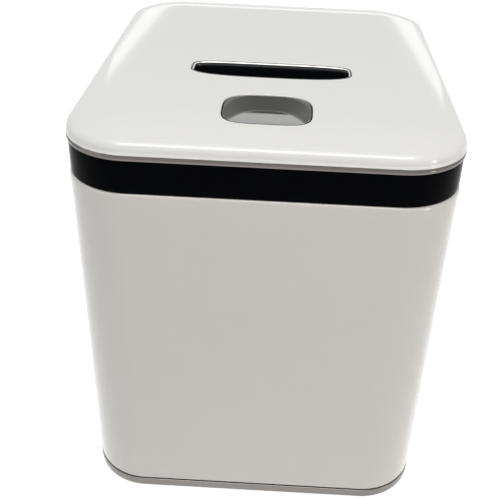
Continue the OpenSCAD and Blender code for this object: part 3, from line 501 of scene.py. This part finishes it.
def superLoop(angle, half, powers):
    # Oval with bowed sides: the radius at an angle is that of a superellipse, one power behind and one in front
    c, s = np.cos(angle), np.sin(angle)
    power = np.where(s > 0, powers[0], powers[1])
    radius = (np.abs(c / half[0]) ** power + np.abs(s / half[1]) ** power) ** (-1 / power)
    return np.stack([radius * c, radius * s], 1)


def loopNormals(loop):
    # Outward direction at each point of a closed anticlockwise loop, across its neighbours
    along = np.roll(loop, -1, axis=0) - np.roll(loop, 1, axis=0)
    out = np.stack([along[:, 1], -along[:, 0]], 1)
    return out / np.linalg.norm(out, axis=1, keepdims=True)


def carryLoop(loop, profile):
    # Each (set-in, height) row of the profile is the loop moved in along its normals, at that height
    plan = loop[None] - loopNormals(loop)[None] * profile[:, 0][:, None, None]
    return np.concatenate([plan, np.broadcast_to(profile[:, 1][:, None, None], plan.shape[:2] + (1,))], 2)


def rimmedPatch(outer, loop, opening, height, crowding=1.6):
    # Rings from the outer loop to the opening, closer together towards it, then a quarter round and a
    # straight fall at its edge
    normals = loopNormals(loop)
    rim = opening["rim"]
    edge = loop + normals * rim
    t = np.linspace(0, 1, opening["rings"])[:, None, None]
    t = 1 - (1 - t) ** crowding
    plan = outer[None] * (1 - t) + edge[None] * t
    top = height(plan[..., 0], plan[..., 1])
    turn = np.radians(np.linspace(0, 90, 7))[1:]
    roundPlan = edge[None] - normals[None] * (rim * np.sin(turn))[:, None, None]
    roundTop = height(edge[:, 0], edge[:, 1])[None] - (rim * (1 - np.cos(turn)))[:, None]
    plan = np.concatenate([plan, roundPlan, loop[None]])
    top = np.concatenate([top, roundTop, roundTop[-1:] - opening["fall"]])
    return np.concatenate([plan, top[..., None]], 2)


def lidProfile(p):
    # From the underside: a foot that flares out in a small bead, half a cosine wave high, to catch the light
    # from above, then the edge arc, then the crown up to the cut line
    x0, z0 = lidEdgeCentre(p)
    turn0 = math.atan2(x0, z0 - (p["top"] - p["crownRadius"]))
    under = [[p["setIn"] + p["tuck"], p["bottom"]], [p["setIn"] - p["bead"] + p["beadTuck"], p["bottom"]]]
    u = np.linspace(0, 1, 7)
    flare = np.stack([p["setIn"] - p["bead"] * (0.5 + 0.5 * np.cos(math.pi * u)),
                      p["bottom"] + p["beadLift"] + p["beadHeight"] * u], 1)
    arc = np.linspace(0, math.pi / 2 - turn0, 14)
    side = np.stack([case["cornerRadius"] - x0 - p["edgeRadius"] * np.cos(arc),
                     z0 + p["edgeRadius"] * np.sin(arc)], 1)
    inset = np.linspace(side[-1, 0], p["cut"], 5)[1:]
    over = np.stack([inset, lidHeight(p, case["cornerRadius"] - inset)], 1)
    return np.concatenate([under, flare[:-1], side, over])


def makeLid(p, nearly=1e-6):
    # The profile is carried round the outline to the cut line. The area inside it is split across the lid,
    # one patch for each opening and one behind, all at the height that the distance from the edge gives.
    def height(x, y):
        return lidHeight(p, reachOf(x, y))

    skirt = sweepOutline(lidProfile(p), splitPath(p["splits"], corners=28, spacing=5.0))
    rim = skirt[:, -1, :2]
    across = rim[0][0]
    columns = np.linspace(-across, across, p["columns"])[1:-1]

    def outerLoop(low, high, centre):
        # The cut line between two splits, closed along them, in the order of its angle round the centre
        inside = (rim[:, 1] >= low - nearly) & (rim[:, 1] <= high + nearly)
        lines = [np.stack([columns, np.full_like(columns, y)], 1) for y in (low, high) if math.isfinite(y)]
        loop = np.concatenate([rim[inside], *lines]) - centre
        angle = np.arctan2(loop[:, 1], loop[:, 0])
        order = np.argsort(angle)
        return loop[order] + centre, angle[order]

    front, back = p["splits"]
    patches = []
    for low, high, opening in ((-math.inf, front, p["button"]), (front, back, p["slot"])):
        centre = np.array([0, opening["y"]])
        outer, angle = outerLoop(low, high, centre)
        hole = superLoop(angle, opening["half"], opening["powers"]) + centre
        patches.append(rimmedPatch(outer, hole, opening, height))
    # Rings from the cut line towards one point at the back
    centre = np.array([0, p["backY"]])
    outer, angle = outerLoop(back, math.inf, centre)
    t = np.linspace(0, 1, 30)[:, None, None]
    plan = outer[None] * (1 - t) + centre * t
    patches.append(np.concatenate([plan, height(plan[..., 0], plan[..., 1])[..., None]], 2))

    points = [skirt.reshape(-1, 3)]
    faces = [gridQuads(*skirt.shape[:2], wrapRows=True)]
    for patch in patches:
        faces.append(gridQuads(*patch.shape[:2], wrapColumns=True, start=sum(map(len, points))))
        points.append(patch.reshape(-1, 3))
    piece = addPiece("lidShell", np.concatenate(points), np.concatenate(faces), "lidGloss", "lid",
                     ("lid_shell",))
    giveWall(piece, p["wall"])


lidRing = {
    "bottom": 300.8, "top": 304.6, "setIn": 0.0, "width": 8.0, "round": 0.7, "innerRound": 0.4,
    "lean": 1.3, "break": 1.9, "breakRound": 0.2,
}


def makeLidRing(r):
    # A rectangle whose outer face breaks part way up and leans in to the lid
    low, high = r["setIn"], r["setIn"] + r["width"]
    bar = carryBar([(low, r["bottom"], r["round"]), (high, r["bottom"], r["innerRound"]),
                    (high, r["top"], r["innerRound"]), (low + r["lean"], r["top"], r["breakRound"]),
                    (low, r["bottom"] + r["break"], r["round"])])
    addGrid("lidRing", bar, "brightChrome", "lid", ("lid_ring",), wrapRows=True)


slot = {
    "top": 320.7, "depth": 20.0, "gap": 0.25, "skirt": (4.0, 3.0), "lip": 0.9, "lipRound": 0.3, "bevel": 1.1,
    "bevelRows": (0.0, 0.04, 0.5, 0.96, 1.0), "wallStart": (0.1, 0.15), "wallRows": 6, "slope": 1.6,
    "floorRound": 7.0, "dip": 0.8, "spine": 0.72, "wall": 1.2,
    # Trim: a bright strip on the bevel that stands in for the black lip's highlight, a painted highlight. Its rise
    # over the lip, set-in and width, and how deep its two upper and two lower corners lie
    "trimRise": 0.06, "trimSetIn": 0.1, "trimWidth": 0.75, "trimUpper": (0.1, 0.85), "trimLower": (1.2, 0.45),
}


def slotLoop(s, opening):
    angle = np.linspace(-math.pi, math.pi, 241)[:-1]
    return superLoop(angle, tuple(half - s["gap"] for half in opening["half"]), opening["powers"])


def makeSlotTub(s, opening):
    # A glossy tub: a rounded lip with a bevel at 45 degrees inside it, a wall that leans in evenly, a quarter
    # round, and a floor that dips along a spine. The underside repeats wall and floor one thickness out.
    loop = slotLoop(s, opening)
    t = np.radians(np.linspace(0, 90, 7))
    r, f = s["lipRound"], s["floorRound"]
    low = s["top"] - s["depth"]
    outside = [[0.0, s["top"] - depth] for depth in s["skirt"]]
    lip = np.stack([r * (1 - np.cos(t)), s["top"] - r + r * np.sin(t)], 1)
    k = np.array(s["bevelRows"])
    bevel = np.stack([s["lip"] + s["bevel"] * k, s["top"] - s["bevel"] * k], 1)
    setIn, fall = s["wallStart"]
    inner = s["lip"] + s["bevel"] + setIn
    wallZ = np.linspace(s["top"] - s["bevel"] - fall, low + f, s["wallRows"])
    wall = np.stack([inner + s["slope"] * np.linspace(0, 1, s["wallRows"]), wallZ], 1)
    u = np.radians(np.linspace(0, 90, 10))[1:]
    bottom = np.stack([inner + s["slope"] + f * (1 - np.cos(u)), low + f - f * np.sin(u)], 1)
    turn = np.concatenate([0 * wallZ, u])
    under = np.concatenate([wall, bottom]) + s["wall"] * np.stack([-np.cos(turn), -np.sin(turn)], 1)
    k = np.linspace(0, 1, 14)[1:, None, None]
    spine = np.stack([loop[:, 0] * s["spine"], np.zeros(len(loop))], 1)

    def floorRows(edge, level):
        floor = edge[None, :, :2] * (1 - k) + spine[None] * k
        floorZ = np.broadcast_to(level - s["dip"] * np.sin(k * math.pi / 2), floor.shape[:2] + (1,))
        return np.concatenate([floor, floorZ], 2)

    top = carryLoop(loop, np.concatenate([outside, lip, bevel, wall, bottom]))
    below = carryLoop(loop, under)
    lower = floorRows(below[-1], low - s["wall"])
    tub = np.concatenate([lower[::-1], below[::-1], top, floorRows(top[-1], low)])
    tub[..., 1] += opening["y"]
    addGrid("slotTub", tub, "slotBlack", "lid", ("grip_insert",))


def makeSlotHighlightTrim(s, opening):
    # A bright metal strip lies on the bevel as a painted highlight, in place of the light caught by the black
    # lip's bevel: a flat strip with a thin wall, carried round the same oval
    near = s["lip"] + s["trimSetIn"]
    far = near + s["trimWidth"]
    upper = [s["top"] + s["trimRise"] - depth for depth in s["trimUpper"]]
    lower = [s["top"] - depth for depth in s["trimLower"]]
    strip = np.array([[near, upper[0]], [far, upper[1]], [far, lower[0]], [near, lower[1]]])
    trim = carryLoop(slotLoop(s, opening), strip)
    trim[..., 1] += opening["y"]
    addGrid("slotHighlightTrim", trim, "highlightTrim", "lid", ("grip_insert",), wrapRows=True)


# Push button: rounded rectangle with a soft rim round a thumb dish. Under the rim its skirt steps in, which
# leaves room for the guide when the button is pressed.
button = {
    "rim": 320.2, "half": (29.7, 22.7), "powers": (3.1, 4.6), "edge": 0.4, "step": (1.6, 1.0),
    "coneDepth": 13.1, "coneHalf": (30.2, 46.5), "conePower": 2.6, "padSlope": 0.105, "soften": 0.18,
    "skirt": 309.0, "skirtSetIn": 2.1, "skirtWall": 0.8,
    "ceiling": 313.4, "ceilingRings": (0.0, 0.25, 0.5, 0.75), "flatUpTo": 0.3,
}


def makeButton(b, p):
    angle = np.linspace(-math.pi, math.pi, 181)[:-1]
    loop = superLoop(angle, b["half"], b["powers"])
    t = np.radians(np.linspace(0, 90, 7))
    e = b["edge"]
    inner = b["skirtSetIn"] + b["skirtWall"]
    skirt = [[inner, b["ceiling"]], [inner, b["skirt"]], [b["skirtSetIn"], b["skirt"]],
             [b["skirtSetIn"], b["rim"] - b["step"][0]], [0.0, b["rim"] - b["step"][1]]]
    roundOver = np.stack([e * (1 - np.cos(t)), b["rim"] - e + e * np.sin(t)], 1)
    side = carryLoop(loop, np.concatenate([skirt, roundOver]))
    k = np.linspace(0, 1, 44)[1:, None]
    ring = side[-1, :, :2]
    dish = ring[None] * (1 - k[..., None])
    # A scoop: a cone that falls from the far and side edges to a point at the near edge, met in a curved
    # valley by a flat pad that falls from the near edge; the depth is the smooth least of the two falls
    near = dish[..., 1] - ring[:, 1].min()

    def crownDrop(x, y):
        return p["top"] - lidHeight(p, reachOf(x, y + p["button"]["y"]))

    lead = crownDrop(0.0, ring[:, 1].min()) - crownDrop(0 * near, dish[..., 1])
    share = (np.abs(dish[..., 0] / b["coneHalf"][0]) ** b["conePower"]
             + np.abs(near / b["coneHalf"][1]) ** b["conePower"]) ** (1 / b["conePower"])
    falls = np.stack([b["coneDepth"] * (1 - share), b["padSlope"] * near + lead])
    depth = -b["soften"] * np.log(np.exp(-falls / b["soften"]).sum(axis=0))
    dishZ = (b["rim"] - np.clip(depth, 0, None))[..., None]
    # Rings across the ceiling close the button from below
    ceiling = side[:1] * np.array(b["ceilingRings"])[:, None, None]
    ceiling[..., 2] = b["ceiling"]
    shape = np.concatenate([ceiling, side, np.concatenate([dish, dishZ], 2)])
    # All above the ceiling follows the fall of the lid's crown
    follows = shape[..., 2] > b["ceiling"] + b["flatUpTo"]
    shape[..., 2] -= np.where(follows, crownDrop(shape[..., 0], shape[..., 1]), 0)
    shape[..., 1] += p["button"]["y"]
    addGrid("thumbButton", shape, "greyGloss", "button", ("lid_button",))


plunger = {"half": 5.0, "y": -110.5, "z": 309.0, "radius": 2.0, "overlap": 0.2, "bevel": 0.3, "endShare": 0.85}


def makePlunger(q, ceiling):
    # The finger under the button that turns the latch: a strip with a round end, carried across its width
    half, r, end = q["half"], q["radius"], q["endShare"]
    turn = np.radians(np.linspace(180, 360, 15))
    arc = np.stack([r * np.cos(turn), q["z"] + r * np.sin(turn)], 1)
    loop = np.concatenate([[[-r, ceiling + q["overlap"]]], arc, [[r, ceiling + q["overlap"]]]])
    centre = loop.mean(axis=0)
    # Place across the width, and how much of its full size the section has there
    rows = [(-half, 0.0), (-half, end), (q["bevel"] - half, 1.0),
            (half - q["bevel"], 1.0), (half, end), (half, 0.0)]
    grid = np.stack([np.concatenate([np.full((len(loop), 1), x), centre + (loop - centre) * share], 1)
                     for x, share in rows])
    grid[..., 1] += q["y"]
    addGrid("buttonPlunger", grid, "greyGloss", "button", ("lid_button",))


makeLid(lid)
makeLidRing(lidRing)
makeSlotTub(slot, lid["slot"])
makeSlotHighlightTrim(slot, lid["slot"])
makeButton(button, lid)
makePlunger(plunger, button["ceiling"])
print("lid made")

# Inner and rear parts keep the shape of their solids: a welded copy with moulded edges stands for each.
# Edge radius of each in mm
mouldedEdges = {
    "rubber_feet": 1.0, "base_pan": 0.5, "top_deck": 0.5, "latch_keeper": 0.3, "rear_panel": 0.6,
    "power_inlet": 0.5, "switch_frame": 0.5, "switch_rocker": 0.5, "heated_well": 0.4, "gearbox_case": 0.5,
    "gearbox_cover": 0.4, "fan_frame": 0.5, "air_duct": 0.5, "drawer_bay": 0.4, "fan_impeller": 0.2,
    "bucket": 0.6, "bucket_handle": 0.5, "grinding_rotor": 0.6, "rotor_socket": 0.3, "wall_blades_set": 0.4,
    "filter_drawer": 0.7, "lid_liner": 0.6, "button_guide": 0.4, "hinge_arms": 0.6, "latch_lever": 0.3,
    "motor_can": 0.5, "output_gear": 0.12, "idler_gear": 0.12, "lid_gasket": 0.3, "carbon_block": 0.6,
}
# How much lower than its solid a part's top stands, in mm: the guide leaves room for the pressed button's rim
loweredTop = {"button_guide": 2.2}
bodyOf = {node: body for body, nodes in frame["record"]["behaviour"]["bodies"].items() for node in nodes}


def mouldedCopy(node, edge, sharp=math.radians(34), weldAt=0.000002, flatWithin=0.005):
    # The solid's triangles welded and its flat faces joined, then every sharp edge turned to a small round
    words = node.split("_")
    name = words[0] + "".join(word.capitalize() for word in words[1:])
    mesh = frame["nodes"][node].data.copy()
    mesh.name = name
    shape = bmesh.new()
    shape.from_mesh(mesh)
    bmesh.ops.remove_doubles(shape, verts=shape.verts, dist=weldAt)
    bmesh.ops.dissolve_limit(shape, angle_limit=flatWithin, verts=shape.verts, edges=shape.edges)
    shape.to_mesh(mesh)
    shape.free()
    if node in loweredTop:
        places = np.empty(3 * len(mesh.vertices), dtype=np.float32)
        mesh.vertices.foreach_get("co", places)
        height = places[2::3]
        height[height > height.max() - 0.01 * mm] -= loweredTop[node] * mm
        mesh.vertices.foreach_set("co", places)
    mesh.polygons.foreach_set("use_smooth", np.ones(len(mesh.polygons), dtype=bool))
    mesh.set_sharp_from_angle(angle=sharp)
    piece = bpy.data.objects.new(name, mesh)
    bpy.context.scene.collection.objects.link(piece)
    softEdges(piece, edge, segments=2, angle=math.degrees(sharp), harden=False)
    # Flat faces stay flat up to their rounded edges
    level = piece.modifiers.new("level", "WEIGHTED_NORMAL")
    level.weight = 100
    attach(piece, bodyOf[node])
    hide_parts(node)
    return piece


moulded = {node: mouldedCopy(node, edge) for node, edge in mouldedEdges.items()}
# The hinge arms are painted, as the deck under them
moulded["hinge_arms"].data.materials.clear()
moulded["hinge_arms"].data.materials.append(materials["satinBlack"])
print("moulded parts made:", len(mouldedEdges))

# Return spring under the button: wire wound round an upright line, its two ends closed flat
coil = {
    "x": 0.0, "y": -101.0, "low": 303.2, "height": 9.8, "radius": 4.4, "wire": 0.55,
    "turns": 6.5, "closed": 0.9, "closedPitch": 0.98, "points": 261, "sides": 10,
}


def makeCoil(s):
    # A tube round a helix: the rise per turn is one wire at the closed ends and even between them
    t = np.linspace(0, s["turns"], s["points"])
    free = np.clip((t - s["closed"]) / (s["turns"] - 2 * s["closed"]), 0, 1)
    low, high = s["low"] + s["wire"], s["low"] + s["height"] - s["wire"]
    flat = 2 * s["wire"] * s["closedPitch"]
    ending = np.clip((t - s["turns"] + s["closed"]) / s["closed"], 0, 1)
    rise = np.clip(t / s["closed"], 0, 1) * flat + ending * flat
    z = low + rise + free * (high - low - 2 * flat)
    turn = 2 * math.pi * t
    centre = np.stack([s["x"] + s["radius"] * np.cos(turn), s["y"] + s["radius"] * np.sin(turn), z], 1)
    outward = np.stack([np.cos(turn), np.sin(turn), 0 * turn], 1)
    k = np.linspace(0, 2 * math.pi, s["sides"] + 1)[:-1]
    up = np.array([0.0, 0.0, 1.0])
    tube = (centre[:, None] + s["wire"] * (np.cos(k)[None, :, None] * outward[:, None]
                                           + np.sin(k)[None, :, None] * up))
    # Each end is a fan to its own centre
    ends = [np.repeat(end[:, None], s["sides"], 1) for end in (centre[:1], centre[-1:])]
    tube = np.concatenate([ends[0], tube, ends[1]])
    piece = addGrid("buttonSpring", tube, "platedSteel", "lid", ("button_spring",))
    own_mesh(piece)


makeCoil(coil)

# Floor, light and background

studio = {
    "floor": (0.9, 0.9, 0.9), "floorRough": 0.9, "floorSize": 8.0, "floorGlow": 0.74, "world": 0.22,
    # Soft boxes, in metres and watts: place, what they face, size, power, colour
    "lamps": {
        "keySoft": ((0.0, -0.85, 1.69), (0, -0.03, 0.3), (1.3, 0.9), 15.0, (1, 1, 1)),
        "topSoft": ((0.0, -0.25, 2.1), (0, 0, 0.25), (1.6, 1.2), 5.5, (1, 1, 1)),
        "backStrip": ((0.0, 1.9, 0.66), (0, 0, 0.31), (1.8, 0.17), 0.8, (1, 1, 1)),
        "leftSoft": ((-1.5, -0.6, 0.8), (0, 0, 0.17), (0.9, 1.1), 1.0, (1, 1, 1)),
        "rightSoft": ((1.15, -0.85, 0.35), (0, 0, 0.2), (0.16, 0.55), 2.2, (1, 0.94, 0.84)),
    },
}


def whiteRays(tree):
    # One for rays from the camera, a mirror or glass, zero for the rest
    path = tree.nodes.new("ShaderNodeLightPath")
    seen = path.outputs["Is Camera Ray"]
    for ray in ("Is Glossy Ray", "Is Transmission Ray"):
        either = tree.nodes.new("ShaderNodeMath")
        either.operation = "MAXIMUM"
        tree.links.new(seen, either.inputs[0])
        tree.links.new(path.outputs[ray], either.inputs[1])
        seen = either.outputs[0]
    return seen


def makeFloor(s):
    material, tree, shader, _ = nodeTree("floorWhite")
    shader.inputs["Base Color"].default_value = (*s["floor"], 1)
    shader.inputs["Roughness"].default_value = s["floorRough"]
    # The camera, mirrors and glass see the floor lifted to white, its shadow kept
    glow = tree.nodes.new("ShaderNodeMath")
    glow.operation = "MULTIPLY"
    glow.inputs[1].default_value = s["floorGlow"]
    tree.links.new(whiteRays(tree), glow.inputs[0])
    shader.inputs["Emission Color"].default_value = (1, 1, 1, 1)
    tree.links.new(glow.outputs[0], shader.inputs["Emission Strength"])
    size = s["floorSize"] / 2
    mesh = bpy.data.meshes.new("floor")
    corners = [(-size, -size, 0), (size, -size, 0), (size, size, 0), (-size, size, 0)]
    mesh.from_pydata(corners, [], [(0, 1, 2, 3)])
    mesh.materials.append(material)
    floor = bpy.data.objects.new("floor", mesh)
    bpy.context.scene.collection.objects.link(floor)


def makeWorld(s):
    world = bpy.data.worlds.new("studio")
    world.use_nodes = True
    bpy.context.scene.world = world
    tree = world.node_tree
    tree.nodes.clear()
    output = tree.nodes.new("ShaderNodeOutputWorld")
    light = tree.nodes.new("ShaderNodeBackground")
    seen = tree.nodes.new("ShaderNodeBackground")
    mix = tree.nodes.new("ShaderNodeMixShader")
    # Even light all round; the camera, mirrors and glass see white
    light.inputs["Color"].default_value = (1, 1, 1, 1)
    light.inputs["Strength"].default_value = s["world"]
    seen.inputs["Color"].default_value = (1, 1, 1, 1)
    seen.inputs["Strength"].default_value = 1.0
    tree.links.new(whiteRays(tree), mix.inputs["Fac"])
    tree.links.new(light.outputs[0], mix.inputs[1])
    tree.links.new(seen.outputs[0], mix.inputs[2])
    tree.links.new(mix.outputs[0], output.inputs["Surface"])


def makeLamps(lamps):
    for name, (place, target, size, power, colour) in lamps.items():
        data = bpy.data.lights.new(name, "AREA")
        data.shape = "RECTANGLE"
        data.size, data.size_y = size
        data.energy = power
        data.color = colour
        lamp = bpy.data.objects.new(name, data)
        lamp.location = place
        lamp.rotation_euler = (Vector(target) - Vector(place)).to_track_quat("-Z", "Y").to_euler()
        bpy.context.scene.collection.objects.link(lamp)


makeFloor(studio)
makeWorld(studio)
makeLamps(studio["lamps"])
print("studio made")
